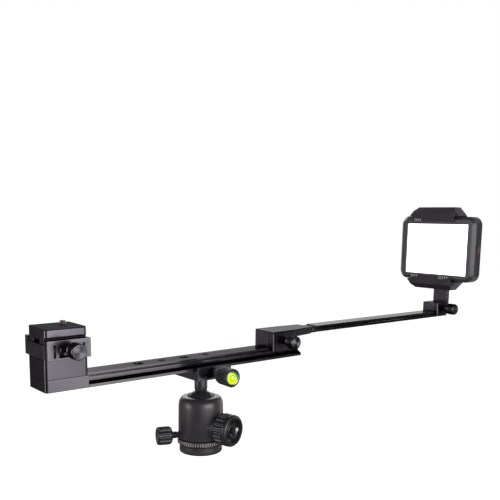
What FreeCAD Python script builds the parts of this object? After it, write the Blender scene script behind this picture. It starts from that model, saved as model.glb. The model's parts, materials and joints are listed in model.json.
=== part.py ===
"""Camera slider with quick-release riser, extension bar, light holder, LED light and ball head.

Frame: millimetres, +Z up, +X along the rail towards the light, -Y is the side with the clamp
knobs.  The origin is the centre of the ball head's base, on its underside, where the 3/8 inch
threaded socket opens.
"""
import FreeCAD, Part
import math
import os
import re

import Sketcher

V = FreeCAD.Vector
doc = FreeCAD.newDocument("camera_slider")

# ---------------------------------------------------------------- driving dimensions
SIZES = {
    # ball head
    "head_height": 102.0,
    "base_radius": 25.3,
    "base_thick": 9.2,
    "socket_radius": 4.76,
    "socket_depth": 12.0,
    "ring_radius": 27.7,
    "ring_top": 16.7,
    "spindle_radius": 8.0,
    "spindle_top": 28.0,
    "housing_radius": 26.5,
    "housing_bottom": 17.2,
    "housing_top": 66.5,
    "mouth_radius": 15.6,
    "cavity_radius": 19.0,
    "cavity_bottom": 30.0,
    "ball_radius": 17.0,
    "ball_height": 57.0,
    "stem_radius": 7.75,
    "stem_bottom": 72.5,
    "stud_radius": 3.0,
    "mainlock_height": 32.0,
    "mainlock_reach": 50.0,
    "mainlock_radius": 18.6,
    "panlock_height": 21.0,
    "panlock_reach": 53.0,
    "panlock_radius": 11.0,
    "boss_start": 20.5,
    # clamp on the ball head
    "headclamp_half": 23.5,
    "headclamp_depth": 27.2,
    "headclamp_thick": 11.0,
    "headclamp_lip": 4.4,
    "headknob_radius": 10.5,
    "headknob_length": 24.0,
    "headknob_face": 60.7,
    # main rail, half widths and heights above its underside
    "rail_start": -153.0,
    "rail_length": 294.0,
    "flange_half": 20.7,
    "flange_thick": 3.1,
    "waist_half": 15.2,
    "waist_low": 5.9,
    "ledge_level": 9.9,
    "groove_half": 11.1,
    "lip_level": 11.3,
    "tongue_half": 12.3,
    "rail_thick": 13.0,
    "tenon_length": 22.0,
    "tenon_half": 11.0,
    "tenon_height": 9.0,
    "hole_pitch": 30.0,
    "first_hole": -84.0,
    "large_hole": 4.76,
    "small_hole": 3.175,
    # riser and quick release
    "riser_start": -199.0,
    "riser_width": 46.0,
    "riser_corner": 4.0,
    "base_block_top": 12.8,
    "riser_top": 33.0,
    "clamp_half": 26.7,
    "clamp_floor": 47.5,
    "clamp_top": 52.3,
    "plate_bottom": 47.7,
    "plate_top": 61.8,
    "pad_thick": 1.0,
    "plate_length": 44.2,
    "qr_knob_level": 43.0,
    "screw_offset": 10.0,
    "camera_thread": 3.175,
    "camera_neck": 2.6,
    "thread_length": 3.2,
    "channel_half": 7.0,
    "flange_head": 6.9,
    "window_half": 10.4,
    "window_level": 12.5,
    "rib_reach": 15.2,
    "rib_groove": 1.8,
    # thumb knobs
    "thumb_reach": 24.0,
    "thumb_radius": 8.25,
    "thumb_head": 12.0,
    "thumb_neck": 3.8,
    "thumb_screw": 2.5,
    "washer_radius": 4.6,
    # carriage and arm
    "carriage_start": 96.5,
    "carriage_length": 36.0,
    "carriage_half": 17.2,
    "carriage_split": 6.5,
    "split_gap": 0.8,
    "carriage_skirt": 8.0,
    "carriage_top": 31.3,
    "carriage_knob_level": 21.3,
    "arm_top": 33.2,
    "arm_low": 24.0,
    "arm_end": 167.0,
    "neck_end": 179.0,
    # extension bar and its clamp
    "bar_end": 462.0,
    "bar_half": 10.25,
    "bar_low": 25.0,
    "bar_top": 33.2,
    "tongue_length": 19.5,
    "tongue_width": 12.0,
    "tongue_height": 4.0,
    "barclamp_start": 434.0,
    "barclamp_length": 25.0,
    "barclamp_half": 13.5,
    "barclamp_low": 26.5,
    "barclamp_top": 46.6,
    "barclamp_split": 6.0,
    "bar_knob_level": 38.2,
    # light and holder
    "light_front": 437.0,
    "light_depth": 20.0,
    "light_width": 134.0,
    "light_height": 96.5,
    "light_low": 80.5,
    "light_corner": 13.0,
    "light_shift": -0.5,
    "bezel_depth": 5.0,
    "window_width": 109.0,
    "window_height": 75.6,
    "window_low": 90.0,
    "wall": 1.6,
    "button_length": 8.8,
    "button_width": 3.8,
    "button_proud": 0.7,
    "battery_width": 80.0,
    "battery_height": 54.0,
    "battery_depth": 6.4,
    "board_thick": 1.6,
    "clip_width": 89.0,
    "clip_shift": 5.0,
    "clip_cut": 12.5,
    "clip_lip": 8.0,
    "clip_rise": 14.0,
    "clip_crease": 6.5,
    "spine_half": 13.5,
    "spine_thick": 3.0,
    "spine_end": 160.0,
    "cover_depth": 9.0,
    "cover_height": 62.0,
    "cover_wall": 1.6,
    # fasteners and pins, by shank and head radius
    "small_shank": 1.5,
    "small_head": 2.8,
    "large_shank": 2.0,
    "large_head": 3.6,
    "flush_head": 3.0,
    "lock_screw": 2.0,
    "thin_pin": 1.2,
    # clearances
    "slip": 0.3,
    "fit": 0.05,
}

sheet = doc.addObject("Spreadsheet::Sheet", "sizes")
for row, (alias, value) in enumerate(SIZES.items(), start=1):
    sheet.set("A%d" % row, alias)
    sheet.set("B%d" % row, str(value))
    sheet.setAlias("B%d" % row, alias)
doc.recompute()

WORD = re.compile(r"[a-z]+(?:_[a-z]+)*")
nodes = {}


def bound(text):
    """An expression on the sheet, from a text that names its aliases."""
    return WORD.sub(lambda m: "sizes." + m.group() if m.group() in SIZES else m.group(), str(text))


# ---------------------------------------------------------------- building helpers
def place(obj, at, turn=None):
    """Put an object at a point given by three expressions, after an optional rotation."""
    if turn is not None:
        obj.Placement = FreeCAD.Placement(V(0, 0, 0), turn)
    for axis, text in zip("xyz", at):
        obj.setExpression("Placement.Base." + axis, bound(text))
    return obj


def towards(direction):
    """The rotation that carries +Z onto a direction."""
    return FreeCAD.Rotation(V(0, 0, 1), direction)


def box(name, size, at):
    obj = doc.addObject("Part::Box", name)
    for prop, text in zip(("Length", "Width", "Height"), size):
        obj.setExpression(prop, bound(text))
    return place(obj, at)


def rod(name, radius, length, at, direction=V(0, 0, 1)):
    obj = doc.addObject("Part::Cylinder", name)
    obj.setExpression("Radius", bound(radius))
    obj.setExpression("Height", bound(length))
    return place(obj, at, towards(direction))


def ball(name, radius, at):
    obj = doc.addObject("Part::Sphere", name)
    obj.setExpression("Radius", bound(radius))
    return place(obj, at)


def fuse(name, *shapes):
    obj = doc.addObject("Part::MultiFuse", name)
    obj.Shapes = list(shapes)
    return obj


def cut(name, base, *tools):
    obj = doc.addObject("Part::Cut", name)
    obj.Base = base
    obj.Tool = tools[0] if len(tools) == 1 else fuse(name + "_tools", *tools)
    return obj


def common(name, *shapes):
    obj = doc.addObject("Part::MultiCommon", name)
    obj.Shapes = list(shapes)
    return obj


def group(name, shapes):
    """Identical separate solids kept together under one name."""
    obj = doc.addObject("Part::Compound", name)
    obj.Links = list(shapes)
    return obj


def outline(body, name, plane, points):
    """A closed sketch whose corners are held by distances bound to the sheet."""
    sketch = body.newObject("Sketcher::SketchObject", name)
    face = [f for f in body.Origin.OriginFeatures if f.Role == plane][0]
    sketch.AttachmentSupport = (face, [""])
    sketch.MapMode = "FlatFace"
    count = len(points)
    start = [V(10 * math.cos(2 * math.pi * i / count), 10 * math.sin(2 * math.pi * i / count), 0)
             for i in range(count)]
    for i in range(count):
        sketch.addGeometry(Part.LineSegment(start[i], start[(i + 1) % count]), False)
    for i in range(count):
        sketch.addConstraint(Sketcher.Constraint("Coincident", i, 2, (i + 1) % count, 1))
    for i, point in enumerate(points):
        for kind, axis, text in (("DistanceX", -2, point[0]), ("DistanceY", -1, point[1])):
            if str(text) == "0":
                sketch.addConstraint(Sketcher.Constraint("PointOnObject", i, 1, axis))
                continue
            held = sketch.addConstraint(Sketcher.Constraint(kind, -1, 1, i, 1, 1.0))
            sketch.setExpression("Constraints[%d]" % held, bound(text))
    return sketch


def prism(name, points, length, along, start="0"):
    """A pad of an outline along X, Y or Z; the outline's two coordinates are the other axes."""
    body = doc.addObject("PartDesign::Body", name)
    plane = {"X": "YZ_Plane", "Y": "XZ_Plane", "Z": "XY_Plane"}[along]
    sketch = outline(body, name + "_outline", plane, points)
    pad = body.newObject("PartDesign::Pad", name + "_pad")
    pad.Profile = sketch
    pad.setExpression("Length", bound(length))
    pad.Reversed = along == "Y"
    at = [start if axis == along else "0" for axis in "XYZ"]
    return place(body, at)


def turned(name, points, at=("0", "0", "0"), direction=V(0, 0, 1)):
    """A solid of revolution: the outline gives radius and height along the direction."""
    body = doc.addObject("PartDesign::Body", name)
    sketch = outline(body, name + "_outline", "XZ_Plane", points)
    spin = body.newObject("PartDesign::Revolution", name + "_turn")
    spin.Profile = sketch
    spin.ReferenceAxis = (sketch, ["V_Axis"])
    spin.Angle = 360
    return place(body, at, towards(direction))


def rounded(name, base, radius, chosen):
    """Fillet the edges that a test picks."""
    doc.recompute()
    picked = [i + 1 for i, edge in enumerate(base.Shape.Edges) if chosen(edge)]
    obj = doc.addObject("Part::Fillet", name)
    obj.Base = base
    obj.Edges = [(i, radius, radius) for i in picked]
    return obj


def parallel(edge, axis, test=lambda middle: True):
    """True for a straight edge along an axis whose middle passes the test."""
    if edge.Curve.TypeId != "Part::GeomLine":
        return False
    run = edge.Vertexes[-1].Point - edge.Vertexes[0].Point
    length = max(run.Length, 1e-9)
    return abs(abs(run.dot(axis)) / length - 1) < 1e-6 and test(edge.BoundBox.Center)


def node(name, obj):
    """Give a finished sub-part its own label, which names its file."""
    obj.Label = name
    nodes[name] = obj
    return obj


X_AXIS, Y_AXIS, Z_AXIS = V(1, 0, 0), V(0, 1, 0), V(0, 0, 1)
FRONT = V(0, -1, 0)


# ---------------------------------------------------------------- ball head
def lock_direction(degrees):
    """A horizontal direction, measured from -Y towards +X."""
    angle = math.radians(degrees)
    return V(math.sin(angle), -math.cos(angle), 0)


MAIN_LOCK = lock_direction(15)
PAN_LOCK = lock_direction(-112)


def along(direction, reach, height):
    """Expressions of the point at a reach from the head's axis."""
    return ("%.6f*(%s)" % (direction.x, reach), "%.6f*(%s)" % (direction.y, reach), height)


def make_head():
    body = turned("base_turned", [
        ("0", "socket_depth"), ("socket_radius", "socket_depth"), ("socket_radius", "0"),
        ("base_radius-1.5", "0"), ("base_radius", "1.5"), ("base_radius", "base_thick"),
        ("spindle_radius", "base_thick"), ("spindle_radius", "spindle_top"), ("0", "spindle_top")])
    ring = turned("ring_turned", [
        ("spindle_radius+4", "base_thick"), ("ring_radius-0.8", "base_thick"),
        ("ring_radius", "base_thick+0.8"), ("ring_radius", "ring_top-0.8"),
        ("ring_radius-0.8", "ring_top"), ("spindle_radius+4", "ring_top")])
    holes, screws = [], []
    for i in range(3):
        spot = along(lock_direction(120 * i + 60), "spindle_radius+8.5", "3")
        holes.append(rod("base_hole_%d" % i, "small_shank+fit", "ring_top-4.5", spot))
        holes.append(rod("base_sink_%d" % i, "small_head+fit", "3", spot[:2] + ("0",)))
        shank = rod("base_shank_%d" % i, "small_shank", "ring_top-5", spot)
        head = rod("base_screw_head_%d" % i, "small_head", "2.4", spot[:2] + ("0.6",))
        screws.append(fuse("base_screw_%d" % i, shank, head))
    node("head_base", cut("head_base_cut", body, *holes))
    ring_holes = [rod("ring_hole_%d" % i, "small_shank+fit", "ring_top-4.5",
                      along(lock_direction(120 * i + 60), "spindle_radius+8.5", "3")) for i in range(3)]
    node("pan_ring", cut("pan_ring_cut", ring, *ring_holes))
    node("base_screws", group("base_screw_group", screws))


def make_housing():
    shell = turned("housing_turned", [
        ("spindle_radius+fit", "housing_bottom"), ("housing_radius-0.8", "housing_bottom"),
        ("housing_radius", "housing_bottom+0.8"), ("housing_radius", "housing_top-11"),
        ("housing_radius-0.9", "housing_top-6.5"), ("housing_radius-3", "housing_top-2.6"),
        ("housing_radius-6.5", "housing_top"), ("mouth_radius", "housing_top"),
        ("mouth_radius", "housing_top-1.9"), ("cavity_radius", "housing_top-7"),
        ("cavity_radius", "cavity_bottom"), ("spindle_radius+fit", "cavity_bottom")])
    main_at = along(MAIN_LOCK, "boss_start", "mainlock_height")
    main_boss = turned("main_boss", [
        ("0", "0"), ("13.5", "0"), ("13.5", "4"), ("12", "9.2"), ("0", "9.2")], main_at, MAIN_LOCK)
    pan_at = along(PAN_LOCK, "boss_start", "panlock_height")
    pan_boss = rod("pan_boss", "3.7", "7.5", pan_at, PAN_LOCK)
    main_bore = rod("main_bore", "stud_radius+fit", "14",
                    along(MAIN_LOCK, "cavity_radius-1", "mainlock_height"), MAIN_LOCK)
    pan_bore = rod("pan_bore", "lock_screw+fit", "22",
                   along(PAN_LOCK, "spindle_radius-1", "panlock_height"), PAN_LOCK)
    whole = fuse("housing_whole", shell, main_boss, pan_boss)
    node("head_housing", cut("housing_cut", whole, main_bore, pan_bore))
    cup = rod("seat_cup", "cavity_radius-fit", "17", ("0", "0", "mainlock_height+3.4"))
    hollow = ball("seat_hollow", "ball_radius+slip", ("0", "0", "ball_height"))
    node("ball_seat", cut("seat_cut", cup, hollow))


def make_locks():
    start = along(MAIN_LOCK, "mainlock_reach-20", "mainlock_height")
    grip = turned("main_grip", [
        ("mainlock_radius-3", "0.5"), ("mainlock_radius-1", "0.5"), ("mainlock_radius", "3"),
        ("mainlock_radius", "15"), ("mainlock_radius-1.2", "18.6"), ("mainlock_radius-3", "19.4")],
        start, MAIN_LOCK)
    node("main_knob_grip", grip)
    hub = turned("main_hub", [
        ("stud_radius+fit", "0.2"), ("mainlock_radius-3", "0.2"), ("mainlock_radius-3", "20"),
        ("mainlock_radius-5", "20"), ("mainlock_radius-5", "15"), ("stud_radius+fit", "15")],
        start, MAIN_LOCK)
    stud_spot = V(MAIN_LOCK.y, -MAIN_LOCK.x, 0) * -7.5
    pocket_at = tuple("%s+%.5f" % (text, shift) for text, shift in
                      zip(along(MAIN_LOCK, "mainlock_reach-9", "mainlock_height"), stud_spot))
    pocket = rod("friction_pocket", "lock_screw+fit", "5", pocket_at, MAIN_LOCK)
    node("main_knob_hub", cut("main_hub_cut", hub, pocket))
    node("main_knob_screw", rod("main_screw", "stud_radius", "28",
                                along(MAIN_LOCK, "cavity_radius+0.7", "mainlock_height"), MAIN_LOCK))
    node("friction_screw", rod("friction_turned", "lock_screw", "5.5", pocket_at, MAIN_LOCK))
    pan_start = along(PAN_LOCK, "panlock_reach-24", "panlock_height")
    knob = turned("pan_turned", [
        ("lock_screw+fit", "0"), ("4.2", "0"), ("4.2", "5"), ("panlock_radius-2.2", "6.2"),
        ("panlock_radius", "9.5"), ("panlock_radius", "20.5"), ("panlock_radius-1.8", "24"),
        ("0", "24"), ("0", "18.1"), ("lock_screw+fit", "18.1")], pan_start, PAN_LOCK)
    node("pan_knob", knob)
    node("pan_knob_screw", rod("pan_screw", "lock_screw", "panlock_reach-6.1-spindle_radius-fit",
                               along(PAN_LOCK, "spindle_radius+0.1", "panlock_height"), PAN_LOCK))


def make_ball():
    round_ball = ball("ball_round", "ball_radius", ("0", "0", "ball_height"))
    flat = box("ball_flat", ("30", "30", "10"), ("-15", "-15", "stem_bottom-0.1"))
    hole = rod("ball_hole", "stud_radius+fit", "12", ("0", "0", "stem_bottom-9.1"))
    node("head_ball", cut("ball_cut", round_ball, flat, hole))
    neck = turned("stem_turned", [
        ("0", "stem_bottom-8.5"), ("stud_radius", "stem_bottom-8.5"), ("stud_radius", "stem_bottom"),
        ("stem_radius-0.6", "stem_bottom"), ("stem_radius-0.6", "stem_bottom+2"),
        ("stem_radius", "stem_bottom+3"), ("stem_radius", "head_height-headclamp_thick"),
        ("stud_radius", "head_height-headclamp_thick"),
        ("stud_radius", "head_height-headclamp_thick+5"), ("0", "head_height-headclamp_thick+5")])
    node("ball_stem", neck)


def make_head_clamp():
    low = "head_height-headclamp_thick"
    half = "headclamp_depth"
    # jaw hooks over the rail's flange: u is outward distance from the rail's centre plane
    hook = [("flange_half+slip", "head_height-0.1"), ("flange_half+slip", "head_height+3.35"),
            ("flange_half-0.8", "head_height+4"), ("flange_half-0.8", "head_height+headclamp_lip"),
            (half, "head_height+headclamp_lip"), (half, low)]
    body_points = [("-14.4", low), ("-14.4", "head_height-0.1")] + hook
    body = prism("headclamp_pad", body_points, "2*headclamp_half", "X", "-headclamp_half")
    jaw_points = [("-(%s)" % y, z) for y, z in [("14.7", low), ("14.7", "head_height-0.1")] + hook]
    jaw = prism("headjaw_pad", jaw_points, "2*headclamp_half", "X", "-headclamp_half")
    stud = rod("headclamp_stud", "stud_radius+fit", "5.2", ("0", "0", low))
    level = "head_height-3.8"
    bores, slots, pins = [stud], [], []
    for side in (-1, 1):
        at = ("%d*15" % side, "-4", low + "+5")
        bores.append(rod("headclamp_pin_bore_%d" % (side + 1), "large_shank+fit", "14", at, FRONT))
        slots.append(rod("headjaw_pin_slot_%d" % (side + 1), "large_shank+2*fit", "24", at, FRONT))
        pins.append(rod("headclamp_pin_%d" % (side + 1), "large_shank", "21.5", at, FRONT))
    bores.append(rod("headclamp_bore", "stud_radius+fit", "12", ("0", "-5", level), FRONT))
    slots.append(rod("headjaw_bore", "stud_radius+2*fit", "30", ("0", "-5", level), FRONT))
    node("head_clamp_body", cut("headclamp_cut", body, *bores))
    node("head_clamp_jaw", cut("headjaw_cut", jaw, *slots))
    node("head_clamp_pins", group("headclamp_pin_group", pins))
    root = ("0", "-headknob_face+headknob_length", level)
    knob = turned("headknob_turned", [
        ("stud_radius+fit", "-8"), ("5.5", "-8"), ("5.5", "0.5"), ("headknob_radius-1.3", "1.5"),
        ("headknob_radius-0.3", "5"), ("headknob_radius", "9"), ("headknob_radius", "23.2"),
        ("headknob_radius-0.8", "headknob_length"), ("headknob_radius-2.4", "headknob_length"),
        ("headknob_radius-2.4", "headknob_length-3.2"), ("0", "headknob_length-3.2"),
        ("0", "12.1"), ("stud_radius+fit", "12.1")], root, FRONT)
    node("head_clamp_knob", knob)
    node("head_clamp_screw", rod("headscrew", "stud_radius", "headknob_face-headknob_length+12-6",
                                 ("0", "-6", level), FRONT))
    node("bubble_level", rod("bubble_disc", "headknob_radius-2.45", "2.9",
                             ("0", "-headknob_face+3.2", level), FRONT))


# ---------------------------------------------------------------- rail and riser
def mirrored_outline(half_points, lift):
    """Both sides of a section given by its half widths and heights, raised by a height."""
    right = [(y, "%s+%s" % (lift, z)) for y, z in half_points]
    left = [("-(%s)" % y, "%s+%s" % (lift, z)) for y, z in reversed(half_points)]
    return right + left


RAIL_HALF = [("flange_half", "0"), ("flange_half", "flange_thick"), ("waist_half", "waist_low"),
             ("waist_half", "ledge_level"), ("groove_half", "ledge_level"),
             ("groove_half", "lip_level"), ("tongue_half", "lip_level"), ("tongue_half", "rail_thick")]


def make_rail():
    rail = prism("rail_pad", mirrored_outline(RAIL_HALF, "head_height"), "rail_length", "X", "rail_start")
    tenon = box("rail_tenon", ("tenon_length", "2*tenon_half", "tenon_height"),
                ("rail_start-tenon_length", "-tenon_half", "head_height+1.5"))
    holes = []
    for i in range(4):
        radius = "small_hole" if i % 2 else "large_hole"
        x = "first_hole+%d*hole_pitch" % i
        holes.append(rod("rail_hole_%d" % i, radius, "rail_thick+2", (x, "0", "head_height-1")))
        holes.append(rod("rail_sink_%d" % i, radius + "+1", "2", (x, "0", "head_height+rail_thick-1")))
    stop_x = "rail_start+rail_length-4"
    stop_hole = rod("stop_hole", "large_shank+fit", "9", (stop_x, "0", "head_height+rail_thick-8"))
    node("main_rail", cut("rail_cut", fuse("rail_whole", rail, tenon), stop_hole, *holes))
    shank = rod("stop_shank", "large_shank", "8", (stop_x, "0", "head_height+rail_thick-7.9"))
    head = rod("stop_head", "3.4", "2", (stop_x, "0", "head_height+rail_thick+0.1"))
    node("rail_end_stop", fuse("stop_whole", shank, head))


def riser_screw_spots():
    for x in ("riser_start+9", "riser_start+37"):
        for y in ("-15", "15"):
            yield x, y


def make_riser():
    footprint = ("riser_width", "2*flange_half")
    corner = SIZES["riser_corner"]
    start = SIZES["riser_start"]
    base = box("base_box", footprint + ("base_block_top",), ("riser_start", "-flange_half", "head_height"))
    base_round = rounded("base_round", base, corner,
                         lambda e: parallel(e, Z_AXIS, lambda m: m.x < start + 1))
    block = box("riser_box", footprint + ("riser_top-base_block_top",),
                ("riser_start", "-flange_half", "head_height+base_block_top"))
    block_round = rounded("riser_round", block, corner, lambda e: parallel(e, Z_AXIS))
    pocket = box("tenon_pocket", ("tenon_length+1", "2*tenon_half", "tenon_height"),
                 ("rail_start-tenon_length", "-tenon_half", "head_height+1.5"))
    base_holes, block_holes, clamp_holes, screws = [pocket], [], [], []
    for i, (x, y) in enumerate(riser_screw_spots()):
        low = (x, y, "head_height-1")
        base_holes.append(rod("base_block_hole_%d" % i, "large_shank+fit", "20", low))
        base_holes.append(rod("base_block_sink_%d" % i, "large_head+fit", "4.1", low))
        block_holes.append(rod("riser_hole_%d" % i, "large_shank+fit", "40", low))
        clamp_holes.append(rod("clamp_hole_%d" % i, "large_shank+fit", "43", low))
        shank = rod("riser_shank_%d" % i, "large_shank", "38.5", (x, y, "head_height+3"))
        head = rod("riser_head_%d" % i, "large_head", "2.8", (x, y, "head_height+0.3"))
        screws.append(fuse("riser_screw_%d" % i, shank, head))
    node("base_block", cut("base_block_cut", base_round, *base_holes))
    node("riser_block", cut("riser_cut", block_round, *block_holes))
    node("riser_screws", group("riser_screw_group", screws))
    return clamp_holes


def thumb_knob(prefix, x, face, level, depth):
    """A thumb knob with its screw and cup washer; the screw goes a depth behind the jaw's face."""
    at = (x, "-(%s)" % face, level)
    knob = turned(prefix + "_turned", [
        ("thumb_screw+fit", "1.8"), ("thumb_neck", "1.8"), ("thumb_neck", "thumb_reach-thumb_head-2.6"),
        ("thumb_neck+1.2", "thumb_reach-thumb_head-2.2"), ("thumb_neck+1.2", "thumb_reach-thumb_head-1"),
        ("thumb_neck", "thumb_reach-thumb_head-0.6"), ("thumb_neck", "thumb_reach-thumb_head"),
        ("thumb_radius-1", "thumb_reach-thumb_head"), ("thumb_radius", "thumb_reach-thumb_head+1"),
        ("thumb_radius", "thumb_reach-1"), ("thumb_radius-1", "thumb_reach"), ("0", "thumb_reach"),
        ("0", "thumb_reach-5.9"), ("thumb_screw+fit", "thumb_reach-5.9")], at, FRONT)
    node(prefix + "_knob", knob)
    shank = rod(prefix + "_shank", "thumb_screw", "%s+thumb_reach-6" % depth,
                (x, "-(%s)+%s" % (face, depth), level), FRONT)
    washer = rod(prefix + "_washer", "washer_radius", "1.3", (x, "-(%s)-0.2" % face, level), FRONT)
    node(prefix + "_screw", fuse(prefix + "_screw_whole", shank, washer))


def jaw_fittings(prefix, x, face, level, depth, split, pin_gap, pin_level, pin_radius):
    """Bores for a clamp body, slots for its jaw, and the two guide pins between them."""
    screw_at = (x, "-(%s)+%s+1" % (face, depth), level)
    bores = [rod(prefix + "_bore", "thumb_screw+fit", "%s+1" % depth, screw_at, FRONT)]
    slots = [rod(prefix + "_jaw_bore", "thumb_screw+2*fit", "%s+4" % depth, screw_at, FRONT)]
    pins = []
    for side in (-1, 1):
        at = ("%s+%d*%s" % (x, side, pin_gap), "-(%s)+9" % split, pin_level)
        bores.append(rod("%s_pin_bore_%d" % (prefix, side + 1), pin_radius + "+fit", "12", at, FRONT))
        slots.append(rod("%s_pin_slot_%d" % (prefix, side + 1), pin_radius + "+2*fit", "14.2", at, FRONT))
        pins.append(rod("%s_pin_%d" % (prefix, side + 1), pin_radius, "13.4", at, FRONT))
    return bores, slots, pins


def make_quick_release(clamp_holes):
    low, floor, top = "head_height+riser_top", "head_height+clamp_floor", "head_height+clamp_top"
    hook = [("flange_half+slip", floor), ("flange_half+slip", floor + "+2.85"),
            ("flange_half-1.4", floor + "+4.15"), ("flange_half-1.4", top), ("clamp_half", top),
            ("clamp_half", low)]
    body = prism("qr_body_pad", [("-18.9", low), ("-18.9", floor)] + hook, "riser_width", "X", "riser_start")
    jaw_points = [("-(%s)" % y, z) for y, z in [("19.2", low), ("19.2", floor + "-0.2"),
                                                ("flange_half+slip", floor + "-0.2")] + hook[1:]]
    jaw = prism("qr_jaw_pad", jaw_points, "riser_width", "X", "riser_start")
    middle = "riser_start+riser_width/2"
    window = box("qr_window", ("2*window_half", "2.6", "window_level"),
                 (middle + "-window_half", "-clamp_half-0.1", low + "+2.2"))
    grooves = [box("qr_groove_%d" % (side + 1), ("rib_groove", "1.7", "window_level"),
                   ("%s+%d*rib_reach-rib_groove/2" % (middle, side), "-clamp_half-0.1", low + "+2.2"))
               for side in (-1, 1)]
    level = "head_height+qr_knob_level"
    bores, slots, pins = jaw_fittings("qr", middle, "clamp_half-2.5", level, "16", "19.2", "7",
                                      low + "+4", "small_shank")
    slots += [window] + grooves
    node("qr_clamp_body", cut("qr_body_cut", body, *(bores + clamp_holes)))
    node("qr_clamp_jaw", cut("qr_jaw_cut", jaw, *slots))
    node("qr_clamp_pins", group("qr_pin_group", pins))
    thumb_knob("qr", middle, "clamp_half-2.5", level, "16")


def make_camera_plate():
    bottom, top = "head_height+plate_bottom", "head_height+plate_top"
    half = [("channel_half", bottom), ("flange_half", bottom), ("flange_half", bottom + "+2.5"),
            ("flange_half-3.1", bottom + "+4.9"), ("flange_half-3.1", bottom + "+5.7"),
            ("flange_half", bottom + "+7.1"), ("flange_half", top)]
    channel = [("channel_half", bottom + "+3.8")]
    right = channel + half
    left = [("-(%s)" % y, z) for y, z in reversed(right)]
    start = "riser_start+(riser_width-plate_length)/2"
    body = prism("plate_pad_body", right + left, "plate_length", "X", start)
    corner = SIZES["riser_corner"] - 0.5
    footprint = box("plate_footprint", ("plate_length", "2*flange_half", "30"),
                    (start, "-flange_half", bottom))
    round_plate = common("plate_round", body, rounded("plate_corners", footprint, corner,
                                                      lambda e: parallel(e, Z_AXIS)))
    spot = ("riser_start+riser_width/2+screw_offset", "screw_offset-1")
    hole = rod("plate_hole", "camera_thread+0.25", "30", spot + (bottom + "-5",))
    sink = rod("plate_sink", "flange_head+slip", "4.1", spot + (bottom + "-0.1",))
    node("camera_plate", cut("plate_cut", round_plate, hole, sink))
    pad = box("pad_box", ("plate_length", "2*flange_half", "pad_thick"), (start, "-flange_half", top))
    pad_round = rounded("pad_round", pad, corner, lambda e: parallel(e, Z_AXIS))
    pad_hole = rod("pad_hole", "camera_thread+0.4", "5", spot + (top + "-1",))
    node("plate_pad", cut("pad_cut", pad_round, pad_hole))
    head = rod("screw_head", "flange_head", "2.6", spot + (bottom + "+1.2",))
    neck_low = bottom + "+3.7"
    thread_low = top + "+pad_thick+slip"
    neck = rod("screw_neck", "camera_neck", "plate_top-plate_bottom+pad_thick+slip-3.7", spot + (neck_low,))
    thread = rod("screw_thread", "camera_thread", "thread_length", spot + (thread_low,))
    slot = box("screw_slot", ("2*channel_half", "1.4", "1.2"),
               (spot[0] + "-channel_half", spot[1] + "-0.7", bottom + "+1.1"))
    node("camera_screw", cut("screw_cut", fuse("screw_whole", head, neck, thread), slot))


# ---------------------------------------------------------------- carriage, arm and bar
def make_carriage():
    rail_top = "head_height+rail_thick+slip"
    top = "head_height+carriage_top"
    hook = [("tongue_half+slip", rail_top), ("tongue_half+slip", "head_height+11"),
            ("groove_half+slip", "head_height+11"), ("groove_half+slip", "head_height+ledge_level+slip"),
            ("waist_half+slip", "head_height+ledge_level+slip"),
            ("waist_half+slip", "head_height+carriage_skirt"),
            ("carriage_half", "head_height+carriage_skirt"), ("carriage_half", top)]
    split = "carriage_split"
    body_points = [("-" + split, top), ("-" + split, rail_top)] + hook
    body = prism("carriage_pad", body_points, "carriage_length", "X", "carriage_start")
    jaw_edge = split + "+split_gap"
    jaw_points = [("-(%s)" % y, z) for y, z in [(jaw_edge, top + "-0.2"), (jaw_edge, rail_top)]
                  + hook[:-1] + [("carriage_half", top + "-0.2")]]
    jaw = prism("carriage_jaw_pad", jaw_points, "carriage_length", "X", "carriage_start")
    middle = "carriage_start+carriage_length/2-1"
    level = "head_height+carriage_knob_level"
    bores, slots, pins = jaw_fittings("carriage", middle, "carriage_half", level, "18", split, "12",
                                      level + "+5.5", "small_shank")
    holes, screws = [], []
    for i, side in enumerate((-1, 1)):
        spot = ("%s+%d*9" % (middle, side), "6")
        holes.append(rod("arm_hole_%d" % i, "small_shank+fit", "12", spot + (top + "-8",)))
        holes.append(rod("arm_sink_%d" % i, "flush_head+fit", "3", spot + ("head_height+arm_top-1.4",)))
        shank = rod("arm_shank_%d" % i, "small_shank", "8.2", spot + (top + "-7.5",))
        head = rod("arm_head_%d" % i, "flush_head", "1.2", spot + ("head_height+arm_top-1.3",))
        screws.append(fuse("arm_screw_%d" % i, shank, head))
    node("carriage_body", cut("carriage_cut", body, *(bores + holes)))
    node("carriage_jaw", cut("carriage_jaw_cut", jaw, *slots))
    node("carriage_pins", group("carriage_pin_group", pins))
    thumb_knob("carriage", middle, "carriage_half", level, "18")
    node("arm_screws", group("arm_screw_group", screws))
    return holes


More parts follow.
